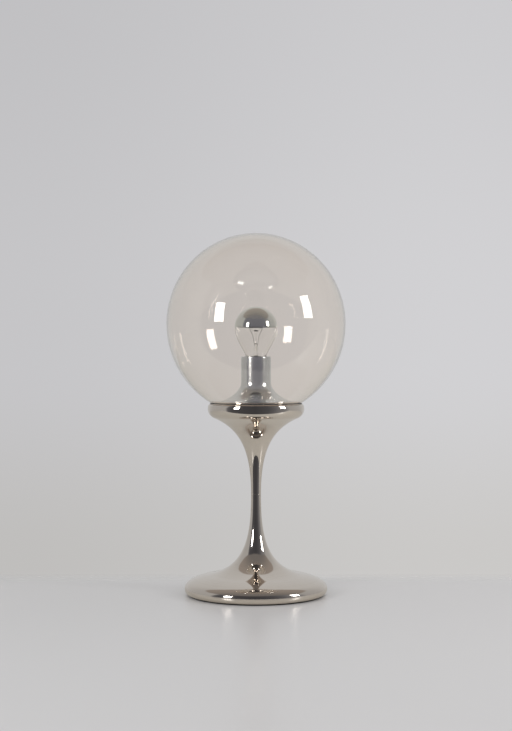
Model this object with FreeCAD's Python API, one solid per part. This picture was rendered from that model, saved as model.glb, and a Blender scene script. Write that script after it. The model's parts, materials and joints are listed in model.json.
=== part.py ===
import FreeCAD, Part
import math
import os

# A table lamp. A clear glass globe rests by its weight on the rolled collar of a nickel
# pedestal, whose foot and collar flare like trumpets from a thin waist. Inside the globe a
# chrome sleeve hides the lampholder of a screw-cap bulb with a silvered crown. One threaded
# tube clamps foot, collar and lampholder together. Millimetres, +Z up, the origin on the
# table under the middle of the foot, +Y towards the back.

# Pedestal outline, from the lip under the foot up to the roll of the collar
LIP_R = 94.5
LIP_Z = 1.5
LIP_HOLE_R = 91.8
FOOT_R = 100.0
FOOT_WIDE_Z = 9.1
SHOULDER_R = 65.9
SHOULDER_Z = 27.8
SHOULDER_SLOPE = 11.4
WAIST_R = 7.1
WAIST_Z = 140.0
NECK_R = 59.0
NECK_Z = 247.2
NECK_SLOPE = 23.2
ROLL_R = 12.6
COLLAR_R = 67.8
COLLAR_WIDE_Z = 259.1
COLLAR_TOP_Z = COLLAR_WIDE_Z + ROLL_R

# Pulls: how far each curve of that outline runs straight before it bends away
PULL_FOOT_EDGE = 10.0
PULL_SHOULDER_OUT = 17.4
PULL_SHOULDER_IN = 54.0
PULL_WAIST_DOWN = 54.4
PULL_WAIST_UP = 62.3
PULL_NECK_IN = 39.8
PULL_NECK_OUT = 2.2

# The lip's two pulls are shares of its way out to the foot's edge and of its way up
SHARE_LIP_OUT = 0.6
SHARE_LIP_UP = 0.55

# Walls of the pedestal: spun sheet, and a casting that thickens from waist to roll
SHEET = 1.5
NECK_WALL = 4.0
ROLL_WALL = 6.1

# Collar mouth: a ledge for the glass, and a well for the plate that the tube pulls down
LEDGE_R = 60.0
LEDGE_Z = 267.6
WELL_R = 52.0
WELL_Z = 268.6
DECK_HOLE_R = 49.5

# Glass globe, a little taller than wide, and the soft ring under it
GLOBE_R = 125.5
GLOBE_EQUATOR_Z = 379.2
GLOBE_RISE = 127.3
GLASS = 2.2
MOUTH_R = 64.4
MOUTH_SLOPE = 32.6
GASKET = 0.9
MOUTH_Z = LEDGE_Z + GASKET
PULL_GLOBE_DOWN = 46.0
PULL_GLOBE_MOUTH = 44.5

# Tube, nuts, washers and plates on the lamp's axis
TUBE_R = 5.0
TUBE_BORE_R = 3.6
TUBE_BOTTOM_Z = 4.0
TUBE_TOP_Z = 280.5
THREAD_GAP = 0.02
HOLE_R = 5.2
NUT_FLATS = 17.0
NUT_FACE_SHARE = 0.95
NUT_SLOPE = 30.0
NUT_BOTTOM_Z = 5.5
BOTTOM_NUT = 6.0
TOP_NUT = 4.0
WASHER_R = 11.5
WASHER = 1.5
PLATE = 1.5
TOP_PLATE_R = 51.8
TOP_WASHER_Z = WELL_Z + PLATE
TOP_NUT_Z = TOP_WASHER_Z + WASHER
BRIDGE_Z = TOP_NUT_Z + TOP_NUT
BRIDGE_R = 35.6
BUSH_HALF = 12.0
BUSH_R = 5.55

# Cast counterweight, open below for the nut and for the cord's way to the back
WEIGHT_BORE_R = 14.0
WEIGHT_BORE_Z = NUT_BOTTOM_Z + BOTTOM_NUT + WASHER
WEIGHT_R = 96.0
WEIGHT_EDGE_Z = 9.0
WEIGHT_FLOOR_Z = 12.0
WEIGHT_BOSS_R = 20.0
WEIGHT_BOSS_Z = 24.0
WEIGHT_RIB_HALF = 2.4
WEIGHT_GAP = 0.05
FELT_R = 94.0

# Cord inlet at the back of the foot
INLET_Z = 10.5
INLET_HOLE_R = 4.2
INLET_FLANGE_R = 6.0
INLET_BORE_R = 3.1
INLET_OUT_Y = 101.2
INLET_IN_Y = 95.5
POCKET_HALF = 8.0
POCKET_Y = 84.0
POCKET_Z = 19.0
SILL_Z = 4.3
CHANNEL_HALF = 4.5
CHANNEL_Z = 8.5

# Chrome sleeve, flared at its foot and rolled in at its mouth
SLEEVE_R = 21.0
SLEEVE_WALL = 1.0
SLEEVE_TOP_Z = 333.2
SLEEVE_ROLL = 1.8
SLEEVE_MOUTH_R = 17.6
FLARE_R = 51.5
FLARE_EDGE_Z = 271.5
FLARE_TOP_Z = 298.0
PULL_FLARE_EDGE = (14.0, 4.2)
PULL_FLARE_TOP = 12.5

# Lampholder for a screw cap of 27 mm
HOLDER_R = 19.2
HOLDER_Z = BRIDGE_Z + PLATE
HOLDER_TOP_Z = 329.5
HOLDER_BORE_R = 15.2
HOLDER_EDGE = 1.2
BOSS_R = 8.0
BOSS = 4.0
BASE_R = 17.0
BASE_Z = 291.0
BASE = 6.0
SPLIT_Z = 296.0
SHELL_BORE_R = 13.25
SHELL = 0.5
SHELL_FLANGE_R = 16.5
SHELL_TOP_Z = 325.0
TERMINAL_X = 9.5
SCREW_HEAD_R = 2.8
SCREW_HEAD = 2.2
SCREW_R = 1.5
SCREW_LENGTH = 5.0
TERMINAL_PLATE = 0.8
CONTACT_TAIL = 7.0
CONTACT_REACH = 3.0
CONTACT_BEND = 1.5
CONTACT_WIDTH = 5.0

# Bulb of 60 mm
BULB_R = 29.8
BULB_EQUATOR_Z = 374.6
BULB_TOP_Z = 403.4
BULB_GLASS = 0.8
BULB_NECK_R = 12.6
BULB_NECK_Z = 318.0
BULB_NECK = 8.0
BULB_BEND = (7.9, 27.5)
PULL_NECK_TOP = 5.0
PULL_BEND_LOW = (4.5, 7.5)
PULL_BEND_HIGH = (5.0, 9.5)
PULL_BULB_SIDE = 13.0
COATING = 0.2
CAP_R = 13.15
CAP_SHEET = 0.35
CAP_TOP_Z = 325.5
CAP_CONE_Z = 304.2
CAP_BOTTOM_R = 8.5
CAP_BOTTOM_Z = 300.6
INSULATOR_Z = 299.2
TIP_R = 4.2
TIP_Z = 298.5
STEM_FLARE = 20.0
PULL_STEM_LOW = 2.0
PULL_STEM_TOP = 11.0
PRESS_Z = 350.5
PRESS_R = 1.8
ARBOR_R = 0.9
BUTTON_R = 3.0
BUTTON_Z = 368.6
BUTTON = 1.6
LEAD_R = 0.3
LEAD_PATH = ((1.5, 346.0), (3.4, 356.5), (4.7, 363.0), (9.1, 372.8))
FILAMENT_R = 9.1
FILAMENT_Z = 373.4
FILAMENT_COIL_R = 0.4
SUPPORT_R = 0.15
SUPPORT_ANGLES = (-135.0, -90.0, -45.0)

# A quarter ellipse as a Bezier curve takes this share of each semi-axis as its pull
QUARTER = 0.5523


def at(point):
    """Place of an (r, z) pair in the half plane y = 0."""
    return FreeCAD.Vector(point[0], 0, point[1])


def along(point, degrees, length):
    """The (r, z) pair reached by going a length in a direction, 0 being outwards."""
    angle = math.radians(degrees)
    return (point[0] + length * math.cos(angle), point[1] + length * math.sin(angle))


class Outline:
    """An outline in the half plane y = 0, drawn edge by edge through (r, z) pairs."""

    def __init__(self, r, z):
        self.start = (r, z)
        self.here = self.start
        self.edges = []

    def to(self, r, z):
        """Straight edge to a pair."""
        self.edges.append(Part.makeLine(at(self.here), at((r, z))))
        self.here = (r, z)
        return self

    def curve(self, *poles):
        """Bezier curve to the last pair, pulled by the pairs before it."""
        bezier = Part.BezierCurve()
        bezier.setPoles([at(self.here)] + [at(pole) for pole in poles])
        self.edges.append(bezier.toShape())
        self.here = poles[-1]
        return self

    def arc(self, centre, begin, finish):
        """Circular arc about a centre between two directions, the first being the pair here."""
        radius = math.hypot(self.here[0] - centre[0], self.here[1] - centre[1])
        middle = along(centre, (begin + finish) / 2, radius)
        end = along(centre, finish, radius)
        self.edges.append(Part.Arc(at(self.here), at(middle), at(end)).toShape())
        self.here = end
        return self

    def turned(self):
        """Solid that the closed outline sweeps round the lamp's axis."""
        self.to(*self.start)
        face = Part.Face(Part.Wire(self.edges))
        return face.revolve(FreeCAD.Vector(0, 0, 0), FreeCAD.Vector(0, 0, 1), 360)


def disc(radius, bottom_z, height):
    """Disc on the lamp's axis."""
    return Part.makeCylinder(radius, height, FreeCAD.Vector(0, 0, bottom_z))


def ring(inner_r, outer_r, bottom_z, height):
    """Washer, plate or tube on the lamp's axis."""
    return disc(outer_r, bottom_z, height).cut(disc(inner_r, bottom_z, height))


def block(x_range, y_range, z_range):
    """Rectangular block between two values along each axis."""
    corner = FreeCAD.Vector(x_range[0], y_range[0], z_range[0])
    width = x_range[1] - x_range[0]
    depth = y_range[1] - y_range[0]
    return Part.makeBox(width, depth, z_range[1] - z_range[0], corner)


def rod(radius, start, end):
    """Round rod between two points."""
    a = FreeCAD.Vector(*start)
    b = FreeCAD.Vector(*end)
    return Part.makeCylinder(radius, (b - a).Length, a, b - a)


def bent_wire(radius, points):
    """Round wire through points, with a ball at each bend."""
    rods = [rod(radius, a, b) for a, b in zip(points, points[1:])]
    balls = [Part.makeSphere(radius, FreeCAD.Vector(*point)) for point in points[1:-1]]
    return rods[0].multiFuse(rods[1:] + balls).removeSplitter()


def hex_nut(flats, bottom_z, height):
    """Hexagon nut on the tube, with its corners turned off at a slope."""
    corner_r = flats / math.sqrt(3)
    turns = [math.radians(60 * side) for side in range(7)]
    points = [FreeCAD.Vector(corner_r * math.cos(t), corner_r * math.sin(t), bottom_z)
              for t in turns]
    prism = Part.Face(Part.makePolygon(points)).extrude(FreeCAD.Vector(0, 0, height))
    face_r = flats / 2 * NUT_FACE_SHARE
    drop = (corner_r - face_r) * math.tan(math.radians(NUT_SLOPE))
    top_z = bottom_z + height
    turning = Outline(0, bottom_z).to(face_r, bottom_z).to(corner_r, bottom_z + drop)
    turning.to(corner_r, top_z - drop).to(face_r, top_z).to(0, top_z)
    return prism.common(turning.turned()).cut(disc(TUBE_R + THREAD_GAP, bottom_z, height))


def save(name, *solids):
    """Write one sub-part, as one solid or as a group of separate ones."""
    shape = solids[0] if len(solids) == 1 else Part.makeCompound(list(solids))
    shape.exportStep("parts/" + name + ".step")


# Pedestal

def foot_body(path, inset):
    """Closes a path that has reached the lip: the foot's trumpet, moved in by the inset."""
    shoulder = along((SHOULDER_R, SHOULDER_Z), 270 - SHOULDER_SLOPE, inset)
    edge_r = FOOT_R - inset
    lip_z = LIP_Z + inset
    edge_rise = FOOT_WIDE_Z - lip_z
    waist_r = WAIST_R - inset
    path.curve((LIP_R + SHARE_LIP_OUT * (edge_r - LIP_R), lip_z),
               (edge_r, FOOT_WIDE_Z - SHARE_LIP_UP * edge_rise), (edge_r, FOOT_WIDE_Z))
    path.curve((edge_r, FOOT_WIDE_Z + PULL_FOOT_EDGE - inset),
               along(shoulder, -SHOULDER_SLOPE, PULL_SHOULDER_OUT), shoulder)
    path.curve(along(shoulder, 180 - SHOULDER_SLOPE, PULL_SHOULDER_IN),
               (waist_r, WAIST_Z - PULL_WAIST_DOWN - inset), (waist_r, WAIST_Z))
    return path.to(0, WAIST_Z).turned()


def foot_skin():
    """Spun foot with its edge turned in under the counterweight, before the inlet is cut."""
    outside = foot_body(Outline(0, LIP_Z).to(LIP_R, LIP_Z), 0.0)
    lip_top_z = LIP_Z + SHEET
    path = Outline(0, LIP_Z).to(LIP_HOLE_R, LIP_Z).to(LIP_HOLE_R, lip_top_z)
    inside = foot_body(path.to(LIP_R, lip_top_z), SHEET)
    return outside.cut(inside)


def inlet_rod(radius, from_y, to_y):
    """Rod along the axis of the cord inlet."""
    return rod(radius, (0, from_y, INLET_Z), (0, to_y, INLET_Z))


def foot():
    """Lower trumpet of the pedestal."""
    hole = inlet_rod(INLET_HOLE_R, POCKET_Y, INLET_OUT_Y)
    save("foot_trumpet", foot_skin().cut(hole))


def grommet():
    """Bush of the cord inlet, with a flange on each side of the foot's sheet."""
    flanges = inlet_rod(INLET_FLANGE_R, INLET_IN_Y, INLET_OUT_Y).cut(foot_skin())
    neck = inlet_rod(INLET_HOLE_R, INLET_IN_Y, INLET_OUT_Y)
    bore = inlet_rod(INLET_BORE_R, INLET_IN_Y, INLET_OUT_Y)
    save("cord_inlet_grommet", flanges.fuse(neck).cut(bore).removeSplitter())


def collar():
    """Upper trumpet, which rolls over at the top and ends in ledge, crest and well."""
    neck = (NECK_R, NECK_Z)
    roll = (COLLAR_R - ROLL_R, COLLAR_WIDE_Z)
    outer = Outline(0, WAIST_Z).to(WAIST_R, WAIST_Z)
    outer.curve((WAIST_R, WAIST_Z + PULL_WAIST_UP), along(neck, NECK_SLOPE + 180, PULL_NECK_IN),
                neck)
    half_drop = (COLLAR_WIDE_Z - NECK_Z) / 2
    outer.curve(along(neck, NECK_SLOPE, PULL_NECK_OUT), (COLLAR_R, COLLAR_WIDE_Z - half_drop),
                (COLLAR_R, COLLAR_WIDE_Z))
    outer.arc(roll, 0, 90).to(0, COLLAR_TOP_Z)

    inner_neck = along(neck, NECK_SLOPE + 90, NECK_WALL)
    inner_r = WAIST_R - SHEET
    roll_inner_r = COLLAR_R - ROLL_WALL
    inner = Outline(0, WAIST_Z).to(inner_r, WAIST_Z)
    inner.curve((inner_r, WAIST_Z + PULL_WAIST_UP),
                along(inner_neck, NECK_SLOPE + 180, PULL_NECK_IN), inner_neck)
    inner.curve(along(inner_neck, NECK_SLOPE, PULL_NECK_OUT),
                (roll_inner_r, COLLAR_WIDE_Z - NECK_WALL), (roll_inner_r, COLLAR_WIDE_Z))
    inner.arc(roll, 0, 90).to(0, roll[1] + ROLL_R - ROLL_WALL)

    ledge = ring(LEDGE_R, COLLAR_R, LEDGE_Z, COLLAR_TOP_Z - LEDGE_Z)
    well = disc(WELL_R, WELL_Z, COLLAR_TOP_Z - WELL_Z)
    hole = disc(DECK_HOLE_R, COLLAR_WIDE_Z, COLLAR_TOP_Z - COLLAR_WIDE_Z)
    save("collar_trumpet", outer.turned().cut(inner.turned()).cut(ledge).cut(well).cut(hole))


def counterweight():
    """Cast disc on the turned-in lip, with a rib that the foot's shoulder bears on.

    Its pocket at the back keeps a low sill on the lip, which holds the cord in.
    """
    seat_z = LIP_Z + SHEET
    land = along((SHOULDER_R, SHOULDER_Z), 270 - SHOULDER_SLOPE, SHEET + WEIGHT_GAP)
    land_out = along(land, -SHOULDER_SLOPE, WEIGHT_RIB_HALF)
    land_in = along(land, 180 - SHOULDER_SLOPE, WEIGHT_RIB_HALF)
    rib_foot = land_out[1] - WEIGHT_FLOOR_Z
    half_drop = rib_foot / 4
    path = Outline(0, LIP_Z).to(LIP_HOLE_R, LIP_Z).to(LIP_HOLE_R, seat_z).to(LIP_R, seat_z)
    path.to(WEIGHT_R, seat_z + SHEET).to(WEIGHT_R, WEIGHT_EDGE_Z)
    path.to(land_out[0] + half_drop, WEIGHT_FLOOR_Z).to(*land_out).to(*land_in)
    path.to(land_in[0] - half_drop, WEIGHT_FLOOR_Z).to(WEIGHT_BOSS_R + half_drop, WEIGHT_FLOOR_Z)
    path.to(WEIGHT_BOSS_R, WEIGHT_BOSS_Z).to(0, WEIGHT_BOSS_Z)
    weight = path.turned().cut(disc(HOLE_R, LIP_Z, WEIGHT_BOSS_Z))
    weight = weight.cut(disc(WEIGHT_BORE_R, LIP_Z, WEIGHT_BORE_Z - LIP_Z))
    width = (-POCKET_HALF, POCKET_HALF)
    over_sill = block(width, (POCKET_Y, FOOT_R), (SILL_Z, POCKET_Z))
    before_sill = block(width, (POCKET_Y, LIP_HOLE_R), (LIP_Z, SILL_Z))
    channel = block((-CHANNEL_HALF, CHANNEL_HALF), (0, POCKET_Y), (LIP_Z, CHANNEL_Z))
    save("counterweight", weight.cut(over_sill).cut(before_sill).cut(channel))


def felt():
    """Pad under the foot."""
    save("felt_pad", disc(FELT_R, 0, LIP_Z))


# Clamping parts on the axis

def clamping_parts():
    """Tube, bottom nut and washer, locating bush, top plate, top washer and top nut."""
    save("stem_tube", ring(TUBE_BORE_R, TUBE_R, TUBE_BOTTOM_Z, TUBE_TOP_Z - TUBE_BOTTOM_Z))
    save("bottom_nut", hex_nut(NUT_FLATS, NUT_BOTTOM_Z, BOTTOM_NUT))
    save("bottom_washer", ring(HOLE_R, WASHER_R, WEIGHT_BORE_Z - WASHER, WASHER))
    save("waist_bush", ring(TUBE_R + THREAD_GAP, BUSH_R, WAIST_Z - BUSH_HALF, 2 * BUSH_HALF))
    save("top_plate", ring(HOLE_R, TOP_PLATE_R, WELL_Z, PLATE))
    save("top_washer", ring(HOLE_R, WASHER_R, TOP_WASHER_Z, WASHER))
    save("top_nut", hex_nut(NUT_FLATS, TOP_NUT_Z, TOP_NUT))


# Glass globe

def globe_body(inset):
    """Globe from its flat mouth to the pole, moved in by the inset."""
    radius = GLOBE_R - inset
    rise = GLOBE_RISE - inset
    mouth_r = MOUTH_R - inset / math.sin(math.radians(MOUTH_SLOPE))
    path = Outline(0, MOUTH_Z).to(mouth_r, MOUTH_Z)
    path.curve(along((mouth_r, MOUTH_Z), MOUTH_SLOPE, PULL_GLOBE_MOUTH),
               (radius, GLOBE_EQUATOR_Z - PULL_GLOBE_DOWN), (radius, GLOBE_EQUATOR_Z))
    path.curve((radius, GLOBE_EQUATOR_Z + QUARTER * rise),
               (QUARTER * radius, GLOBE_EQUATOR_Z + rise), (0, GLOBE_EQUATOR_Z + rise))
    return path.turned()


def globe():
    """Blown glass globe, ground flat at its mouth, and the soft ring that it rests on."""
    save("glass_globe", globe_body(0.0).cut(globe_body(GLASS)))
    save("globe_seat_ring", ring(LEDGE_R + HOLE_R - TUBE_R, MOUTH_R, LEDGE_Z, GASKET))


# Socket sleeve

def sleeve_body(path, inset):
    """Closes a path that has reached the flare's edge: flare, tube and rolled mouth."""
    edge = path.here
    radius = SLEEVE_R - inset
    path.curve((edge[0] - PULL_FLARE_EDGE[0], edge[1] + PULL_FLARE_EDGE[1]),
               (radius, FLARE_TOP_Z - PULL_FLARE_TOP), (radius, FLARE_TOP_Z))
    roll_z = SLEEVE_TOP_Z - SLEEVE_ROLL
    path.to(radius, roll_z).arc((SLEEVE_R - SLEEVE_ROLL, roll_z), 0, 90)
    return path


def sleeve():
    """Chrome sleeve, and the steel bridge that is pressed into its flare."""
    floor_z = WELL_Z + PLATE
    outer = sleeve_body(Outline(0, floor_z).to(FLARE_R, floor_z).to(FLARE_R, FLARE_EDGE_Z), 0.0)
    inner_r = FLARE_R - SLEEVE_WALL
    inner_z = FLARE_EDGE_Z - SLEEVE_WALL
    inner = sleeve_body(Outline(0, floor_z).to(inner_r, floor_z).to(inner_r, inner_z), SLEEVE_WALL)
    inner.to(SLEEVE_MOUTH_R, inner.here[1]).to(SLEEVE_MOUTH_R, SLEEVE_TOP_Z).to(0, SLEEVE_TOP_Z)
    shell = outer.to(0, SLEEVE_TOP_Z).turned().cut(inner.turned())
    save("socket_sleeve", shell)
    save("sleeve_bridge", ring(HOLE_R, BRIDGE_R, BRIDGE_Z, PLATE))


# Lampholder

def holder_cap():
    """Lower half of the holder: a threaded boss under a dome, hollow for the terminals."""
    boss_z = HOLDER_Z + BOSS
    outer = Outline(0, HOLDER_Z).to(BOSS_R, HOLDER_Z).to(BOSS_R, boss_z)
    outer.curve((BOSS_R, boss_z + BOSS), (HOLDER_R, boss_z + BOSS), (HOLDER_R, BASE_Z))
    outer.to(HOLDER_R, SPLIT_Z).to(0, SPLIT_Z)
    floor_z = TUBE_TOP_Z + SHELL
    cavity_r = BASE_R - SCREW_HEAD
    inner = Outline(0, floor_z).to(BOSS_R - SCREW_R, floor_z)
    inner.curve((BOSS_R + SCREW_R, floor_z + BOSS), (cavity_r, floor_z + BOSS),
                (cavity_r, BASE_Z))
    inner.to(BASE_R, BASE_Z).to(BASE_R, SPLIT_Z).to(0, SPLIT_Z)
    thread = disc(TUBE_R + THREAD_GAP, HOLDER_Z, floor_z - HOLDER_Z)
    save("holder_cap", outer.turned().cut(inner.turned()).cut(thread))


def holder_body():
    """Upper half of the holder, which clamps the contact shell's flange on the base."""
    step_z = BASE_Z + BASE + SHELL
    corner = (HOLDER_R - HOLDER_EDGE, HOLDER_TOP_Z - HOLDER_EDGE)
    path = Outline(BASE_R, SPLIT_Z).to(HOLDER_R, SPLIT_Z).to(HOLDER_R, corner[1])
    path.arc(corner, 0, 90).to(HOLDER_BORE_R, HOLDER_TOP_Z).to(HOLDER_BORE_R, step_z)
    save("holder_body", path.to(BASE_R, step_z).turned())


def holder_contacts():
    """Porcelain base with the threaded shell, centre contact, terminal plates and screws."""
    top_z = BASE_Z + BASE
    flange = ring(SHELL_BORE_R, SHELL_FLANGE_R, top_z, SHELL)
    tube = ring(SHELL_BORE_R, SHELL_BORE_R + SHELL, top_z, SHELL_TOP_Z - top_z)
    save("holder_thread_shell", flange.fuse(tube).removeSplitter())

    low = top_z
    high = TIP_Z - SHELL
    profile = [(-CONTACT_TAIL, low), (-CONTACT_REACH, low), (-CONTACT_BEND, high),
               (CONTACT_REACH, high), (CONTACT_REACH, TIP_Z), (-CONTACT_BEND - SHELL / 2, TIP_Z),
               (-CONTACT_REACH - SHELL / 2, low + SHELL), (-CONTACT_TAIL, low + SHELL)]
    strip = Part.Face(Part.makePolygon([at(point) for point in profile + profile[:1]]))
    strip = strip.extrude(FreeCAD.Vector(0, CONTACT_WIDTH, 0))
    strip.translate(FreeCAD.Vector(0, -CONTACT_WIDTH / 2, 0))
    save("holder_centre_contact", strip)

    base = disc(BASE_R, BASE_Z, BASE)
    plates = []
    screws = []
    plate_z = BASE_Z - TERMINAL_PLATE
    for x in (-TERMINAL_X, TERMINAL_X):
        axis = FreeCAD.Vector(x, 0, 0)
        hole = disc(SCREW_R + THREAD_GAP, plate_z, SCREW_LENGTH)
        hole.translate(axis)
        base = base.cut(hole)
        plate = block((x - SCREW_HEAD_R, x + SCREW_HEAD_R), (-SCREW_HEAD_R, SCREW_HEAD_R),
                      (plate_z, BASE_Z))
        plates.append(plate.cut(hole))
        screw = disc(SCREW_R, plate_z, SCREW_LENGTH)
        screw = screw.fuse(disc(SCREW_HEAD_R, plate_z - SCREW_HEAD, SCREW_HEAD))
        slot = block((-SCREW_HEAD_R, SCREW_HEAD_R), (-SHELL / 2, SHELL / 2),
                     (plate_z - SCREW_HEAD, plate_z - SCREW_HEAD / 2))
        screw = screw.cut(slot)
        screw.translate(axis)
        screws.append(screw)
    save("holder_base", base)
    save("terminal_plates", *plates)
    save("terminal_screws", *screws)


# Bulb

def envelope_body(inset):
    """Bulb glass from neck to pole, moved in by the inset."""
    radius = BULB_R - inset
    neck_r = BULB_NECK_R - inset
    rise = BULB_TOP_Z - inset - BULB_EQUATOR_Z
    neck_top_z = BULB_NECK_Z + BULB_NECK
    bend = (neck_r + BULB_BEND[0], BULB_NECK_Z + BULB_BEND[1])
    path = Outline(0, BULB_NECK_Z).to(neck_r, BULB_NECK_Z).to(neck_r, neck_top_z)
    path.curve((neck_r, neck_top_z + PULL_NECK_TOP),
               (bend[0] - PULL_BEND_LOW[0], bend[1] - PULL_BEND_LOW[1]), bend)
    path.curve((bend[0] + PULL_BEND_HIGH[0], bend[1] + PULL_BEND_HIGH[1]),
               (radius, BULB_EQUATOR_Z - PULL_BULB_SIDE), (radius, BULB_EQUATOR_Z))
    path.curve((radius, BULB_EQUATOR_Z + QUARTER * rise),
               (QUARTER * radius, BULB_EQUATOR_Z + rise), (0, BULB_EQUATOR_Z + rise))
    return path.turned()


def crown_cup(radius, rise):
    """Half of an ellipsoid that stands on the bulb's equator."""
    path = Outline(0, BULB_EQUATOR_Z).to(radius, BULB_EQUATOR_Z)
    path.curve((radius, BULB_EQUATOR_Z + QUARTER * rise),
               (QUARTER * radius, BULB_EQUATOR_Z + rise), (0, BULB_EQUATOR_Z + rise))
    return path.turned()


def bulb_glass():
    """Envelope with a silver coat over its upper half."""
    save("bulb_envelope", envelope_body(0.0).cut(envelope_body(BULB_GLASS)))
    rise = BULB_TOP_Z - BULB_EQUATOR_Z
    coat = crown_cup(BULB_R + COATING, rise + COATING).cut(crown_cup(BULB_R, rise))
    save("bulb_silver_crown", coat)


def bulb_cap():
    """Screw cap, its glass insulator, and the solder tip."""
    cone_r = CAP_R - CAP_SHEET
    bottom_r = CAP_BOTTOM_R - CAP_SHEET
    outer = Outline(0, CAP_BOTTOM_Z).to(CAP_BOTTOM_R, CAP_BOTTOM_Z).to(CAP_R, CAP_CONE_Z)
    outer.to(CAP_R, CAP_TOP_Z).to(0, CAP_TOP_Z)
    inner = Outline(0, CAP_BOTTOM_Z).to(bottom_r, CAP_BOTTOM_Z).to(cone_r, CAP_CONE_Z)
    inner.to(cone_r, CAP_TOP_Z).to(0, CAP_TOP_Z)
    save("bulb_screw_cap", outer.turned().cut(inner.turned()))

    half_way = ((bottom_r + cone_r) / 2, (CAP_BOTTOM_Z + CAP_CONE_Z) / 2)
    glass = Outline(0, INSULATOR_Z).to(TIP_R + SCREW_R, INSULATOR_Z)
    glass.to(bottom_r, CAP_BOTTOM_Z).to(*half_way).to(0, half_way[1])
    save("bulb_cap_insulator", glass.turned())

    tip = Outline(0, TIP_Z).to(TIP_R - COATING, TIP_Z).to(TIP_R, TIP_Z + COATING)
    tip.to(TIP_R, INSULATOR_Z).to(0, INSULATOR_Z)
    save("bulb_tip_contact", tip.turned())


def bulb_mount():
    """Glass stem, lead wires, deflector disc, support wires and filament in the bulb."""
    sides = (-1, 1)
    leads = [bent_wire(LEAD_R, [(side * x, 0, z) for x, z in LEAD_PATH]) for side in sides]
    seal_r = BULB_NECK_R - BULB_GLASS
    stem_r = PRESS_R + ARBOR_R
    flare_z = BULB_NECK_Z + STEM_FLARE
    stem = Outline(0, BULB_NECK_Z).to(seal_r, BULB_NECK_Z).to(seal_r, BULB_NECK_Z + BULB_GLASS)
    stem.curve((seal_r / 2, BULB_NECK_Z + PULL_STEM_LOW), (stem_r, flare_z - PULL_STEM_TOP),
               (stem_r, flare_z))
    stem.to(PRESS_R, PRESS_Z).to(ARBOR_R, PRESS_Z).to(ARBOR_R, BUTTON_Z).to(0, BUTTON_Z)
    glass = stem.turned()
    deflector = ring(ARBOR_R, BUTTON_R, PRESS_Z, SHELL)
    for lead in leads:
        glass = glass.cut(lead)
        deflector = deflector.cut(lead)
    save("bulb_stem", glass)
    save("bulb_deflector_disc", deflector)
    save("bulb_lead_wires", *leads)
    save("bulb_button", disc(BUTTON_R, BUTTON_Z, BUTTON))
    middle_z = BUTTON_Z + BUTTON / 2
    wire_top_z = FILAMENT_Z - FILAMENT_COIL_R - SUPPORT_R
    wires = []
    for degrees in SUPPORT_ANGLES:
        inner = along((0, 0), degrees, BUTTON_R + SUPPORT_R)
        outer = along((0, 0), degrees, FILAMENT_R)
        wires.append(rod(SUPPORT_R, inner + (middle_z,), outer + (wire_top_z,)))
    save("bulb_support_wires", *wires)
    centre = FreeCAD.Vector(0, 0, FILAMENT_Z)
    up = FreeCAD.Vector(0, 0, 1)
    coil = Part.makeTorus(FILAMENT_R, FILAMENT_COIL_R, centre, up, -180, 180, 180)
    coil.rotate(centre, up, 180)
    save("bulb_filament", coil)


def main():
    """Build every sub-part."""
    os.makedirs("parts", exist_ok=True)
    foot()
    grommet()
    collar()
    counterweight()
    felt()
    clamping_parts()
    globe()
    sleeve()
    holder_cap()
    holder_body()
    holder_contacts()
    bulb_glass()
    bulb_cap()
    bulb_mount()


main()
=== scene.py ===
import json
import math

import bpy
import numpy as np
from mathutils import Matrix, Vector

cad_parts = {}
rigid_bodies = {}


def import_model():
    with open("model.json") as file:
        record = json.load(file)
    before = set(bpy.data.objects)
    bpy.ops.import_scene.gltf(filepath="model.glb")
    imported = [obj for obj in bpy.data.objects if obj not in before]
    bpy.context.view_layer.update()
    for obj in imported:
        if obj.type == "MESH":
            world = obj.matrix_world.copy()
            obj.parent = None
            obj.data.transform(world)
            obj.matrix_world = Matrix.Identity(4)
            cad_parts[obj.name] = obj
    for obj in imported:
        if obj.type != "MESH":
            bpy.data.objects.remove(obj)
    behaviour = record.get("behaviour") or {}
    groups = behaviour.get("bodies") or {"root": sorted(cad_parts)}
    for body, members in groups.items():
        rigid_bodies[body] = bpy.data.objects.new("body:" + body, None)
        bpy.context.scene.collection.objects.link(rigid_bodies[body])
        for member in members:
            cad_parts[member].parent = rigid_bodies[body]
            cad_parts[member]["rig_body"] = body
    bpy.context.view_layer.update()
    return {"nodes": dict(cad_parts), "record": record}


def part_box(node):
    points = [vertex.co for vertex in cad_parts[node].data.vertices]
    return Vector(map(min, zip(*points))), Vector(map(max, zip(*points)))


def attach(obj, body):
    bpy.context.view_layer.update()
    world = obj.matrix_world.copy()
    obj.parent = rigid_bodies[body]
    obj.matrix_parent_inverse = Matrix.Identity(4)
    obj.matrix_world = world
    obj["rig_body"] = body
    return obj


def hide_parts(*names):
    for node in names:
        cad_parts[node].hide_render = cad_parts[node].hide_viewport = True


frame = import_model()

# The finishes of a table lamp: a clear glass globe on a polished nickel pedestal, and inside
# it a chrome sleeve with a silver-crowned bulb. Metres, +Z up, the origin on the table under
# the lamp's axis, -Y towards the viewer. A pair is (r, z): distance from the axis, and height.
# A PULL is how far a curve's handle reaches from the curve's end, and LIP_SHARES are such pulls
# as shares of their curve's width and height.

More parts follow.
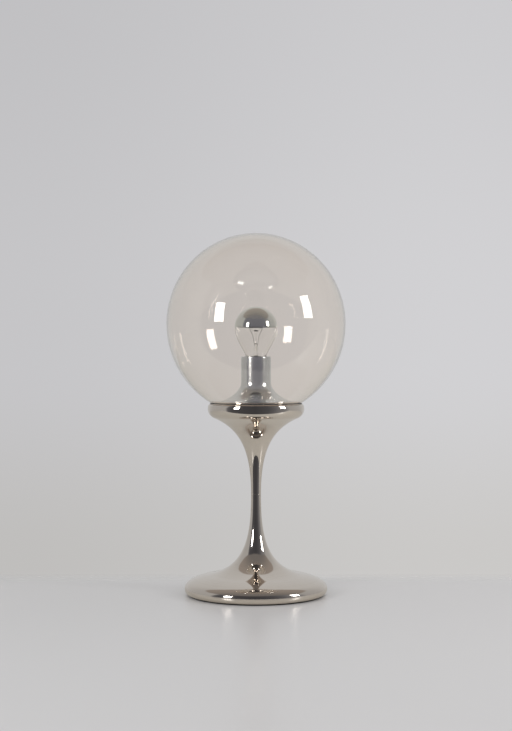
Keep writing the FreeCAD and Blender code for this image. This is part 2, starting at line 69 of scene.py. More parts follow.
# Pedestal outline
LIP = (0.0945, 0.0015)
LIP_HOLE_R = 0.0918
LIP_SHARES = (0.60, 0.55)
FOOT_WIDE = (0.1000, 0.0091)
SHOULDER = (0.0659, 0.0278)
SHOULDER_SLOPE = 11.4
WAIST = (0.0071, 0.1400)
NECK = (0.0590, 0.2472)
NECK_SLOPE = 23.2
ROLL_R = 0.0126
ROLL = (0.0552, 0.2591)
COLLAR_WIDE = (ROLL[0] + ROLL_R, ROLL[1])
PULL_FOOT_EDGE = 0.0100
PULL_SHOULDER_OUT = 0.0174
PULL_SHOULDER_IN = 0.0540
PULL_WAIST_DOWN = 0.0544
PULL_WAIST_UP = 0.0623
PULL_NECK_IN = 0.0398
PULL_NECK_OUT = 0.0022
SHEET = 0.0015
NECK_WALL = 0.0040
ROLL_WALL = 0.0061
LEDGE_R = 0.0600
LEDGE_Z = 0.2676
WELL_R = 0.0520
WELL_Z = 0.2686
DECK_HOLE_R = 0.0495

# Outer face of the collar's roll, a little flatter than a circle
FACE = (COLLAR_WIDE[0], 0.2602)
PULL_FACE_UP = 0.0048
PULL_FACE_DOWN = 0.0082
PULL_LEDGE = (0.0019, -0.0007)

# Cord inlet at the back of the foot
INLET_Z = 0.0105
INLET_HOLE_R = 0.0042
INLET_BORE_R = 0.0031
INLET_FLANGE_R = 0.0060
INLET_OUT_Y = 0.1012
INLET_IN_Y = 0.0955
INLET_FLANGE = 0.0020
CUTTER_SPARE = 0.0100

# Glass globe and the ring under it
GLOBE_R = 0.1255
GLOBE_EQUATOR_Z = 0.3792
GLOBE_RISE = 0.1273
GLOBE_GLASS = 0.0022
MOUTH_R = 0.0644
MOUTH_SLOPE = 32.6
MOUTH_Z = 0.2685
PULL_GLOBE_DOWN = 0.0460
PULL_GLOBE_MOUTH = 0.0445
SEAT_INNER_R = 0.0602

# Socket sleeve and the lampholder's upper shell
SLEEVE_R = 0.0210
SLEEVE_WALL = 0.0010
SLEEVE_TOP_Z = 0.3332
SLEEVE_ROLL = 0.0018
SLEEVE_MOUTH_R = 0.0176
FLARE_R = 0.0515
FLARE_FLOOR_Z = 0.2701
FLARE_EDGE_Z = 0.2715
FLARE_TOP_Z = 0.2980
PULL_FLARE_EDGE = (0.0140, 0.0042)
PULL_FLARE_TOP = 0.0125
HOLDER_R = 0.0192
HOLDER_TOP_Z = 0.3295
HOLDER_BORE_R = 0.0152
HOLDER_EDGE = 0.0012
HOLDER_STEP = (0.0170, 0.2975)
HOLDER_SPLIT_Z = 0.2960

# Screw thread, 27 mm across and 7 to the inch
PITCH = 0.003629
THREAD_DEPTH = 0.0008
THREAD_FADE = 0.0020
SHELL_BORE_R = 0.01325
SHELL_SHEET = 0.0005
SHELL_FLANGE_R = 0.0165
SHELL_Z = 0.2970
SHELL_TOP_Z = 0.3250

# Bulb. The shoulder's pairs are counted from the neck's foot: the handle above the neck, the
# handle and the end of the first curve, and the first handle of the second. STEM_FLARE holds
# the heights of the flare's handles above the neck's foot, and SUPPORT_BEND the share of the
# filament's radius and the rise above the button at which a support bends
BULB_R = 0.0298
BULB_EQUATOR_Z = 0.3746
BULB_TOP_Z = 0.4034
BULB_GLASS = 0.0008
BULB_NECK_R = 0.0126
BULB_NECK_Z = 0.3180
BULB_NECK_TOP_Z = 0.3260
BULB_SHOULDER = ((0.0, 0.0130), (0.0034, 0.0200), (0.0079, 0.0275), (0.0129, 0.0370))
PULL_BULB_EQUATOR = 0.0130
COAT = 0.0002
COAT_GAP = 0.00004
CAP_R = 0.01315
CAP_SHEET = 0.00035
CAP_TOP_Z = 0.3255
CAP_CONE_Z = 0.3042
CAP_BOTTOM = (0.0085, 0.3006)
STEM_R = 0.0027
STEM_TOP_Z = 0.3380
STEM_FLARE = (0.0020, 0.0090)
PINCH_Z = 0.3450
PRESS_Z = 0.3505
PRESS_R = 0.0018
ARBOR_R = 0.0009
DISC_R = 0.0030
DISC = 0.0005
BUTTON_R = 0.0030
BUTTON_Z = 0.3686
BUTTON = 0.0016
LEAD_R = 0.0003
LEAD_PATH = ((0.0015, 0.3460), (0.0034, 0.3565), (0.0047, 0.3630), (0.0091, 0.3728))
FILAMENT_R = 0.0091
FILAMENT_Z = 0.3734
FILAMENT_COIL_R = 0.0004
FILAMENT_WIRE_R = 0.00008
FILAMENT_TURNS = 90
FILAMENT_SIDES = 5
TURN_POINTS = 10
SUPPORT_R = 0.00015
SUPPORT_BEND = (0.7, 0.0004)
SUPPORT_SIDE = (0.3, 0.2, 1.0)
SUPPORT_ANGLES = (-135.0, -90.0, -45.0)

# Fineness of the meshes
COLUMNS = 240
COLUMNS_BULB = 160
COLUMNS_SLEEVE = 144
COLUMNS_CAP = 120
COLUMNS_HOLDER = 96
COLUMNS_SMALL = 64
COLUMNS_INLET = 48
CURVE = 40
CURVE_NECK = 20
CURVE_PRESS = 24
CURVE_LEAD = 12
CURVE_SUPPORT = 8
ARC = 14
CORNER = 6
WIRE_SIDES = 10
LEVEL_STEP = 0.00025

# Softening of corners: how far from a corner its curve starts, and the largest share of a
# stretch that it takes
EASE = 0.0003
EASE_SHARP = 0.0001
EASE_SLEEVE = 0.0002
EASE_STEM = 0.0004
EASE_SOFT = 0.0006
EASE_BEAD = 0.0007
EASE_SHARE = 0.4

# Handle of a quarter circle as a share of its radius, and the least length that counts
QUARTER = 0.5523
TINY = 1e-6

# Viewpoint: a long lens, level with the globe's lower half
CAMERA_PLACE = (0.0, -1.9375, 0.321)
CAMERA_LENS = 67.96
SENSOR = 36.0

# Backdrop: linear colours, what they are multiplied by high up and low down, and the stretches
# of the view's direction over which they change
BACKDROP_LEFT = (0.562, 0.558, 0.572)
BACKDROP_RIGHT = (0.640, 0.636, 0.652)
BACKDROP_UP = (0.945, 0.945, 0.945)
BACKDROP_DOWN = (0.93, 0.92, 0.88)
BACKDROP_SIDES = (-0.20, 0.16)
BACKDROP_HIGH = (0.05, 0.28)
BACKDROP_LOW = (0.0, -0.14)
WHITE = (1.0, 1.0, 1.0)

# Studio round the lamp, as polished faces see it. Each stop is an angle to the right of the
# viewer's direction, the light there, and the elevation at which the ceiling starts
STUDIO_RING = (
    (-180, 0.575, 62), (-165, 0.55, 59), (-150, 0.53, 56), (-125, 0.45, 43), (-105, 0.43, 40),
    (-78, 0.43, 42), (-71, 0.13, 43), (-60, 0.08, 46), (-45, 0.07, 48), (0, 0.06, 50),
    (30, 0.085, 50), (45, 0.13, 48), (60, 0.20, 46), (72, 0.22, 43), (80, 0.28, 40),
    (88, 0.39, 40), (105, 0.42, 42), (122, 0.44, 43), (150, 0.55, 56), (180, 0.575, 62))
# Walls below this light take the tint of the unlit room
STUDIO_UNLIT = 0.4
STUDIO_DARK = (0.96, 0.96, 1.08)

# Ceiling, and for rays that have passed through glass: the highest elevation at which it
# starts, and the least light that they meet
CEILING_BACK = (0.32, 0.285, 0.26)
CEILING_FRONT = (0.18, 0.17, 0.165)
CEILING_SPAN = (-0.5, 0.5)
CEILING_BLUR = 2.5
CEILING_IN_GLOBE = 46.0
GLASS_HAZE = (0.155, 0.155, 0.185)

# Even light that dull faces get from all sides
SOFT_LIGHT = 0.78

# Windows: angles from the viewer's direction to the right, and heights, at one distance
WINDOWS = {"left": ((-52.2, -40.2), (0.433, 1.105)), "right": ((61.6, 73.8), (0.546, 1.300))}
WINDOW_DISTANCE = 1.75
WINDOW_POWER = 10.0

# Table top: linear colours left and right of the lamp, its finish, and where it fades out
# behind the lamp and all round
TABLE_LEFT = (0.550, 0.543, 0.547)
TABLE_RIGHT = (0.600, 0.590, 0.595)
TABLE_SIDES = (-0.35, 0.35)
TABLE_ROUGH = 0.28
TABLE_SHINE = 0.30
TABLE_R = 3.0
TABLE_CORNERS = 96
TABLE_BACK = (0.11, 0.20)
TABLE_REACH = (0.75, 1.30)

# What polished faces see of the table: from and to which y, and the painted shade that multiplies
# its colour there, making it darker and yellower
TABLE_DEPTH = (-0.28, 1.2)
TABLE_MIRRORED_SHADE = (0.90, 0.89, 0.83)

# Wear of polished metal: its smudges, what share smudges and spin marks have in it, the dust,
# and how deep spin marks and the waves of glass are
SMUDGE_SCALE = 25.0
SMUDGE_SHARE = 0.35
SPIN_SHARE = 0.15
SPIN_DEPTH = 0.00002
WAVE_DEPTH = 0.001
DUST_COLOUR = (0.45, 0.43, 0.40)
DUST_ROUGH = 0.3

# Patterns of wear and grain: how fine a noise is against its group's own scale or in all, and
# a SPAN, the values of the noise between which it comes to count
SPIN_BROAD = 0.13
SPIN_SPAN = (0.42, 0.68)
PATCH_SPAN = (0.46, 0.70)
PATCH_FINER = 14.0
PATCH_FINE_SPAN = (0.3, 0.7)
UPWARD_SPAN = (0.5, 1.0)
SPECK_SCALE = 1400.0
SPECK_SPAN = (0.52, 0.75)
FILM_SCALE = 30.0
FILM_SPAN = (0.3, 0.8)
FILM_LEAST = 0.2
GRAIN_BROAD = 0.08
TONE_SPAN = (0.35, 0.65)
ROUGH_SPAN = (0.25, 0.75)

# Polished metals: colour, colour where worn, roughness, what wear adds to it, strength of the
# spin marks, how fine they are, and the amount of dust
POLISHED = {
    "warm_nickel": ((0.77, 0.708, 0.642), (0.68, 0.615, 0.555), 0.06, 0.05, 0.03, 1500.0, 0.10),
    "chrome": ((0.79, 0.83, 0.86), (0.70, 0.73, 0.74), 0.17, 0.06, 0.05, 2200.0, 0.05),
    "silver_coat": ((0.87, 0.905, 0.89), (0.79, 0.82, 0.81), 0.04, 0.03, 0.01, 600.0, 0.05),
    "cap_metal": ((0.78, 0.78, 0.76), (0.60, 0.60, 0.58), 0.16, 0.15, 0.10, 3000.0, 0.0)}

# Glass: tint, refractive index, and how fine and strong its waves are
GLASS = {
    "tinted_glass": ((1.0, 0.966, 0.925), 1.5, 14.0, 0.02),
    "clear_glass": ((1.0, 0.998, 0.99), 1.35, 60.0, 0.02)}

# Dull finishes: two tones, how metallic, least and most roughness, how fine and strong the
# grain is, and its depth where that isn't the usual one
DULL = {
    "black_glass": ((0.012, 0.012, 0.014), (0.02, 0.02, 0.02), 0.0, (0.05, 0.12), 900.0, 0.02),
    "dark_glass": ((0.09, 0.085, 0.075), (0.05, 0.048, 0.045), 0.0, (0.05, 0.15), 1500.0, 0.05),
    "solder": ((0.50, 0.50, 0.50), (0.36, 0.36, 0.36), 1.0, (0.25, 0.45), 1200.0, 0.15),
    "brass": ((0.80, 0.60, 0.30), (0.66, 0.47, 0.22), 1.0, (0.12, 0.3), 1100.0, 0.06),
    "zinc_steel": ((0.60, 0.61, 0.62), (0.48, 0.49, 0.51), 1.0, (0.22, 0.42), 700.0, 0.08),
    "cast_iron": ((0.020, 0.020, 0.021), (0.045, 0.040, 0.036), 0.0, (0.5, 0.8), 350.0, 0.5,
                  0.0004),
    "dark_felt": ((0.018, 0.018, 0.019), (0.030, 0.029, 0.028), 0.0, (0.85, 1.0), 1800.0, 0.8,
                  0.0005),
    "seat_rubber": ((0.020, 0.020, 0.021), (0.032, 0.031, 0.030), 0.0, (0.5, 0.7), 900.0, 0.1),
    "black_plastic": ((0.014, 0.014, 0.015), (0.022, 0.022, 0.022), 0.0, (0.3, 0.45), 1600.0,
                      0.15),
    "black_bakelite": ((0.012, 0.010, 0.009), (0.022, 0.018, 0.016), 0.0, (0.12, 0.25), 800.0,
                       0.05),
    "porcelain": ((0.78, 0.76, 0.71), (0.70, 0.68, 0.62), 0.0, (0.35, 0.5), 1000.0, 0.1),
    "dark_metal": ((0.16, 0.15, 0.15), (0.09, 0.085, 0.08), 1.0, (0.35, 0.6), 2000.0, 0.1),
    "nickel_wire": ((0.36, 0.34, 0.32), (0.22, 0.21, 0.20), 1.0, (0.25, 0.45), 2500.0, 0.1),
    "tungsten": ((0.22, 0.22, 0.23), (0.13, 0.13, 0.14), 1.0, (0.35, 0.5), 3000.0, 0.1)}


# Outlines

def along(pair, degrees, length):
    """The pair reached by going a length in a direction, 0 being outwards and 90 up."""
    angle = math.radians(degrees)
    return (pair[0] + length * math.cos(angle), pair[1] + length * math.sin(angle))


def bezier(a, b, c, d, count=CURVE):
    """Cubic curve (1-t)^3 a + 3 t (1-t)^2 b + 3 t^2 (1-t) c + t^3 d, with t in even steps."""
    t = np.linspace(0, 1, count)[:, None]
    a, b, c, d = np.array([a, b, c, d])
    return (1 - t) ** 3 * a + 3 * t * (1 - t) ** 2 * b + 3 * t ** 2 * (1 - t) * c + t ** 3 * d


def arc(centre, radius, begin, finish, count=ARC):
    """Circle arc: centre + radius (cos a, sin a), with a in even steps between two angles."""
    angle = np.radians(np.linspace(begin, finish, count))
    return np.array(centre) + radius * np.stack([np.cos(angle), np.sin(angle)], axis=1)


def trimmed(path, first, last):
    """The path less a length at each end, by interpolation along its summed lengths."""
    place = np.concatenate([[0], np.cumsum(np.hypot(*np.diff(path, axis=0).T))])
    low, high = first, place[-1] - last
    inside = place[(place > low + TINY) & (place < high - TINY)]
    wanted = np.concatenate([[low], inside, [high]])
    return np.stack([np.interp(wanted, place, path[:, k]) for k in (0, 1)], axis=1)


def joined(stretches, closed=True, ease=EASE):
    """One outline from stretches that meet end to end. At each meeting point p the corner is
    the parabola (1-t)^2 a + 2 t (1-t) p + t^2 b between the trimmed ends a and b."""
    stretches = [np.array(stretch) for stretch in stretches]
    lengths = [np.hypot(*np.diff(stretch, axis=0).T).sum() for stretch in stretches]
    following = lengths[1:] + lengths[:1]
    cuts = [min(ease, EASE_SHARE * here, EASE_SHARE * there)
            for here, there in zip(lengths, following)]
    if not closed:
        cuts[-1] = 0
    kept = [trimmed(stretch, cuts[i - 1], cuts[i]) for i, stretch in enumerate(stretches)]
    t = np.linspace(0, 1, CORNER)[1:-1, None]
    parts = []
    for i, path in enumerate(kept):
        parts.append(path)
        if closed or i + 1 < len(kept):
            a, p, b = path[-1], stretches[i][-1], kept[(i + 1) % len(kept)][0]
            parts.append((1 - t) ** 2 * a + 2 * t * (1 - t) * p + t ** 2 * b)
    outline = np.concatenate(parts)
    step = np.hypot(*(outline - np.roll(outline, 1, axis=0)).T)
    return outline[step > TINY]


def polyline(*pairs):
    """Straight stretches from pair to pair."""
    return [np.array([a, b]) for a, b in zip(pairs, pairs[1:])]


def backwards(stretches):
    """The same stretches, run through from the other end."""
    return [stretch[::-1] for stretch in stretches[::-1]]


# Surfaces, as points and groups of faces

def grid_faces(rows, columns, wrap):
    """Quads between neighbouring rows and columns; columns close on themselves, rows if wrap."""
    row = np.arange(rows if wrap else rows - 1)[:, None] * columns
    below = (row + columns) % (rows * columns)
    column = np.arange(columns)[None, :]
    beside = (column + 1) % columns
    corners = [row + column, row + beside, below + beside, below + column]
    return np.stack(corners, axis=-1).reshape(-1, 4)


def fan(centre, ring, columns):
    """Triangles from a centre point to a ring of points."""
    column = np.arange(columns)
    beside = (column + 1) % columns
    return np.stack([np.full(columns, centre), ring + column, ring + beside], axis=1)


def outward(points, groups):
    """Turns all faces round where the volume that they hold, summed a.(b x c)/6, is negative."""
    volume = 0.0
    for faces in groups:
        for k in range(1, faces.shape[1] - 1):
            a, b, c = (points[faces[:, i]] for i in (0, k, k + 1))
            volume += np.einsum("ij,ij->", a, np.cross(b, c))
    return points, groups if volume > 0 else [faces[:, ::-1] for faces in groups]


def turned(outline, wave=None, columns=COLUMNS):
    """Surface of revolution (r cos a, r sin a, z), a in even steps, with r changed by wave(z, a).
    An outline whose ends lie on the axis is closed by fans there, any other on itself."""
    r, z = outline.T
    poled = r[0] < TINY
    if poled:
        r, z = r[1:-1], z[1:-1]
    angle = np.linspace(0, 2 * math.pi, columns, endpoint=False)[None, :]
    height = np.repeat(z[:, None], columns, axis=1)
    radius = r[:, None] + (0 if wave is None else wave(height, angle))
    points = np.stack([radius * np.cos(angle), radius * np.sin(angle), height], axis=-1)
    points = points.reshape(-1, 3)
    groups = [grid_faces(len(r), columns, not poled)]
    if poled:
        ends = [[0, 0, outline[0, 1]], [0, 0, outline[-1, 1]]]
        first, last = len(points), len(points) + 1
        groups += [fan(first, 0, columns)[:, ::-1], fan(last, (len(r) - 1) * columns, columns)]
        points = np.concatenate([points, ends])
    return outward(points, groups)


def swept(path, side, radius, sides=WIRE_SIDES):
    """Round wire along points: path + radius (cos a N + sin a B), where N is the side direction
    made square to the path, B is square to both, and a goes round in even steps."""
    tangent = np.gradient(path, axis=0)
    tangent /= np.linalg.norm(tangent, axis=1)[:, None]
    normal = side - np.sum(side * tangent, axis=1)[:, None] * tangent
    normal /= np.linalg.norm(normal, axis=1)[:, None]
    across = np.cross(tangent, normal)
    angle = np.linspace(0, 2 * math.pi, sides, endpoint=False)[None, :, None]
    spokes = np.cos(angle) * normal[:, None] + np.sin(angle) * across[:, None]
    rings = path[:, None] + radius * spokes
    points = np.concatenate([rings.reshape(-1, 3), path[:1], path[-1:]])
    first, last = len(points) - 2, len(points) - 1
    groups = [grid_faces(len(path), sides, False), fan(first, 0, sides)[:, ::-1],
              fan(last, (len(path) - 1) * sides, sides)]
    return outward(points, groups)


def smooth_path(points, count=CURVE):
    """Curve through points: between each two, the cubic whose pulls point along the line from
    the point before to the point after, a sixth of its length."""
    points = np.array(points)
    slopes = np.gradient(points, axis=0) / 3
    parts = [bezier(a, a + u, b - v, b, count)[:-1]
             for a, b, u, v in zip(points, points[1:], slopes, slopes[1:])]
    return np.concatenate(parts + [points[-1:]])


def placed(name, data):
    """New object in the scene, made of a mesh, a camera or a light."""
    made = bpy.data.objects.new(name, data)
    bpy.context.scene.collection.objects.link(made)
    return made


def solid(name, *surfaces):
    """New object whose mesh holds one or more surfaces."""
    points = []
    faces = []
    start = 0
    for corners, groups in surfaces:
        points.append(corners)
        faces += [face for group in groups for face in (group + start).tolist()]
        start += len(corners)
    mesh = bpy.data.meshes.new(name)
    mesh.from_pydata(np.concatenate(points), [], faces)
    return placed(name, mesh)


def piece(name, node, *surfaces):
    """Visible piece of one or more surfaces in place of a node: it rides on that node's body
    and takes that node's finish."""
    made = solid(name, *surfaces)
    made.data.shade_smooth()
    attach(made, frame["nodes"][node]["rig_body"])
    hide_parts(node)
    made.data.materials.append(FINISHES[SLOTS[node]])
    return made


# Shader nodes

def add(tree, kind, inputs=None, **settings):
    """Adds a node. Each input, by name or number, is a value or a socket to link from."""
    made = tree.nodes.new("ShaderNode" + kind)
    for key, value in settings.items():
        setattr(made, key, value)
    for key, value in (inputs or {}).items():
        if isinstance(value, bpy.types.NodeSocket):
            tree.links.new(value, made.inputs[key])
        else:
            made.inputs[key].default_value = value
    return made


def calc(tree, operation, *values):
    """One sum, product or function of numbers."""
    return add(tree, "Math", dict(enumerate(values)), operation=operation).outputs[0]


def ramp(tree, value, low, high, to_low=0.0, to_high=1.0):
    """Smooth step of a value between two limits."""
    inputs = {"Value": value, "From Min": low, "From Max": high,
              "To Min": to_low, "To Max": to_high}
    return add(tree, "MapRange", inputs, interpolation_type="SMOOTHSTEP").outputs[0]


def distance(tree, x, y):
    """Distance from the lamp's axis: the root of x^2 + y^2."""
    squares = calc(tree, "ADD", calc(tree, "MULTIPLY", x, x), calc(tree, "MULTIPLY", y, y))
    return calc(tree, "SQRT", squares)


def mixed(tree, share, first, second, kind="MIX"):
    """Colour from the first to the second, or to both multiplied or the lighter one, by a
    share from 0 to 1."""
    inputs = {0: share, 6: first, 7: second}
    return add(tree, "Mix", inputs, data_type="RGBA", blend_type=kind).outputs[2]


def noise(tree, place, scale, detail=3.0, roughness=0.5):
    """Noise from 0 to 1 at a place."""
    inputs = {"Vector": place, "Scale": scale, "Detail": detail, "Roughness": roughness}
    return add(tree, "TexNoise", inputs).outputs[0]


def new_group(name, inputs, outputs):
    """Empty shader group with float sockets: its tree, its input sockets, and its output node."""
    tree = bpy.data.node_groups.new(name, "ShaderNodeTree")
    for socket, value in inputs.items():
        made = tree.interface.new_socket(name=socket, in_out="INPUT",
                                         socket_type="NodeSocketFloat")
        made.default_value = value
    for socket in outputs:
        tree.interface.new_socket(name=socket, in_out="OUTPUT", socket_type="NodeSocketFloat")
    return tree, tree.nodes.new("NodeGroupInput").outputs, tree.nodes.new("NodeGroupOutput").inputs


def use(tree, group, **values):
    """Places a group in a material, with its own values."""
    made = tree.nodes.new("ShaderNodeGroup")
    made.node_tree = group
    for key, value in values.items():
        made.inputs[key].default_value = value
    return made.outputs


def spin_marks_group():
    """Rings left by spinning and buffing: noise over (r, z) that hardly changes with the angle."""
    tree, given, wanted = new_group("spin marks", {"Fineness": 1500.0}, ["Mask", "Height"])
    place = add(tree, "TexCoord").outputs["Object"]
    x, y, z = add(tree, "SeparateXYZ", {0: place}).outputs
    radius = distance(tree, x, y)
    angle = calc(tree, "ARCTAN2", y, x)
    across = calc(tree, "MULTIPLY", radius, given["Fineness"])
    up = calc(tree, "MULTIPLY", z, given["Fineness"])
    spun = add(tree, "CombineXYZ", {0: across, 1: up, 2: angle}).outputs[0]
    fine = noise(tree, spun, 1.0, 2.0)
    broad = noise(tree, spun, SPIN_BROAD, 1.0)
    tree.links.new(ramp(tree, broad, *SPIN_SPAN), wanted["Mask"])
    tree.links.new(fine, wanted["Height"])
    return tree


def smudges_group():
    """Handling marks: patches a few centimetres wide, broken up by finer noise."""
    tree, given, wanted = new_group("smudges", {"Scale": SMUDGE_SCALE}, ["Mask"])
    place = add(tree, "TexCoord").outputs["Object"]
    patches = ramp(tree, noise(tree, place, given["Scale"]), *PATCH_SPAN)
    finer = calc(tree, "MULTIPLY", given["Scale"], PATCH_FINER)
    fine = ramp(tree, noise(tree, place, finer), *PATCH_FINE_SPAN)
    tree.links.new(calc(tree, "MULTIPLY", patches, fine), wanted["Mask"])
    return tree


def dust_group():
    """Dust on faces that look up: specks of noise times the upward part of the normal."""
    tree, given, wanted = new_group("dust", {"Amount": 0.2}, ["Mask"])
    place = add(tree, "TexCoord").outputs["Object"]
    normal = add(tree, "NewGeometry").outputs["Normal"]
    upward = ramp(tree, add(tree, "SeparateXYZ", {0: normal}).outputs[2], *UPWARD_SPAN)
    specks = ramp(tree, noise(tree, place, SPECK_SCALE, 2.0), *SPECK_SPAN)
    film = ramp(tree, noise(tree, place, FILM_SCALE), *FILM_SPAN, FILM_LEAST)
    share = calc(tree, "MULTIPLY", calc(tree, "MULTIPLY", specks, film), given["Amount"])
    tree.links.new(calc(tree, "MULTIPLY", share, upward), wanted["Mask"])
    return tree


def grain_group():
    """Grain of castings, mouldings, felt and glass: noise of one size, as mask and as height."""
    tree, given, wanted = new_group("grain", {"Scale": 900.0, "Detail": 4.0}, ["Mask", "Height"])
    place = add(tree, "TexCoord").outputs["Object"]
    grain = noise(tree, place, given["Scale"], given["Detail"])
    broad = noise(tree, place, calc(tree, "MULTIPLY", given["Scale"], GRAIN_BROAD), 2.0)
    tree.links.new(ramp(tree, broad, *TONE_SPAN), wanted["Mask"])
    tree.links.new(grain, wanted["Height"])
    return tree


SPIN_MARKS = spin_marks_group()
SMUDGES = smudges_group()
DUST = dust_group()
GRAIN = grain_group()


# Finishes

def new_material(slot):
    """Material with one Principled shader: its tree, the shader and the output."""
    material = bpy.data.materials.new(slot)
    material.use_nodes = True
    tree = material.node_tree
    return material, tree, tree.nodes["Principled BSDF"], tree.nodes["Material Output"]


def rgba(colour):
    """Colour with full opacity, as sockets take it."""
    return (*colour, 1.0)


def polished(slot, colour, dull, shine, smudged, marks, fineness, dust):
    """Plated or silvered metal: smudges and dust dull it, spin marks run round the axis."""
    material, tree, shader, _ = new_material(slot)
    smudge = use(tree, SMUDGES, Scale=SMUDGE_SCALE)["Mask"]
    spun = use(tree, SPIN_MARKS, Fineness=fineness)
    film = use(tree, DUST, Amount=dust)["Mask"]
    worn = calc(tree, "ADD", calc(tree, "MULTIPLY", smudge, SMUDGE_SHARE),
                calc(tree, "MULTIPLY", spun["Mask"], SPIN_SHARE))
    base = mixed(tree, worn, rgba(colour), rgba(dull))
    base = mixed(tree, film, base, rgba(DUST_COLOUR))
    rough = calc(tree, "ADD", shine, calc(tree, "MULTIPLY", worn, smudged))
    rough = calc(tree, "ADD", rough, calc(tree, "MULTIPLY", film, DUST_ROUGH))
    bump = add(tree, "Bump", {"Strength": marks, "Distance": SPIN_DEPTH,
                              "Height": spun["Height"]})
    tree.links.new(base, shader.inputs["Base Color"])
    tree.links.new(rough, shader.inputs["Roughness"])
    tree.links.new(bump.outputs[0], shader.inputs["Normal"])
    shader.inputs["Metallic"].default_value = 1.0
    return material


def plain(slot, colour, second, metallic, rough, scale, relief, depth=0.0001):
    """Dull metal, casting, moulding or felt: two tones and a roughness range, broken by grain."""
    material, tree, shader, _ = new_material(slot)
    grain = use(tree, GRAIN, Scale=scale)
    base = mixed(tree, grain["Mask"], rgba(colour), rgba(second))
    fine = ramp(tree, grain["Height"], *ROUGH_SPAN, *rough)
    bump = add(tree, "Bump", {"Strength": relief, "Distance": depth, "Height": grain["Height"]})
    tree.links.new(base, shader.inputs["Base Color"])
    tree.links.new(fine, shader.inputs["Roughness"])
    tree.links.new(bump.outputs[0], shader.inputs["Normal"])
    shader.inputs["Metallic"].default_value = metallic
    return material


def glass(slot, tint, ior, scale, relief):
    """Clear blown glass: faint waves bend its reflections, and lamp light passes through it."""
    material, tree, shader, output = new_material(slot)
    waves = use(tree, GRAIN, Scale=scale, Detail=1.0)["Height"]
    bump = add(tree, "Bump", {"Strength": relief, "Distance": WAVE_DEPTH, "Height": waves})
    tree.links.new(bump.outputs[0], shader.inputs["Normal"])
    shader.inputs["Base Color"].default_value = rgba(tint)
    shader.inputs["Roughness"].default_value = 0.0
    shader.inputs["IOR"].default_value = ior
    shader.inputs["Transmission Weight"].default_value = 1.0
    shadow = add(tree, "LightPath").outputs["Is Shadow Ray"]
    through = add(tree, "BsdfTransparent", {"Color": rgba(tint)})
    both = add(tree, "MixShader", {0: shadow, 1: shader.outputs[0], 2: through.outputs[0]})
    tree.links.new(both.outputs[0], output.inputs["Surface"])
    return material


def make_finishes():
    """One material for each slot of the record."""
    made = {}
    for kind, table in ((polished, POLISHED), (glass, GLASS), (plain, DULL)):
        for slot, values in table.items():
            made[slot] = kind(slot, *values)
    return made


SLOTS = {row["node"]: row["material_slot"] for row in frame["record"]["subparts"]}
FINISHES = make_finishes()


# Camera, light and table

def make_camera():
    """Level camera in front of the lamp."""
    data = bpy.data.cameras.new("camera")
    data.lens = CAMERA_LENS
    data.sensor_width = SENSOR
    camera = placed("camera", data)
    camera.location = CAMERA_PLACE
    camera.rotation_euler = (math.radians(90), 0, 0)
    bpy.context.scene.camera = camera


def backdrop_colour(tree, direction):
    """Pale backdrop, lighter to the right, and a little darker high up and low down."""
    x, _, z = add(tree, "SeparateXYZ", {0: direction}).outputs
    across = ramp(tree, x, *BACKDROP_SIDES)
    colour = mixed(tree, across, rgba(BACKDROP_LEFT), rgba(BACKDROP_RIGHT))
    for shade, span in ((BACKDROP_UP, BACKDROP_HIGH), (BACKDROP_DOWN, BACKDROP_LOW)):
        tone = mixed(tree, ramp(tree, z, *span), rgba(WHITE), rgba(shade))
        colour = mixed(tree, 1.0, colour, tone, "MULTIPLY")
    return colour


def studio_ring(tree, azimuth):
    """Walls by direction round the lamp: their colour, and the elevation of the ceiling's edge.
    The darker a wall is, the more it takes the tint of the unlit room."""
    turn = add(tree, "MapRange", {"Value": azimuth, "From Min": -math.pi, "From Max": math.pi})
    band = add(tree, "ValToRGB", {0: turn.outputs[0]})
    stops = band.color_ramp.elements
    for degrees, light, ceiling in STUDIO_RING:
        place = (degrees + 180) / 360
        stop = stops[0] if place == 0 else stops[-1] if place == 1 else stops.new(place)
        dark = max(0.0, 1 - light / STUDIO_UNLIT)
        stop.color = [light * (1 + dark * (tint - 1)) for tint in STUDIO_DARK] + [ceiling / 90]
    return band.outputs[0], calc(tree, "MULTIPLY", band.outputs[1], math.pi / 2)


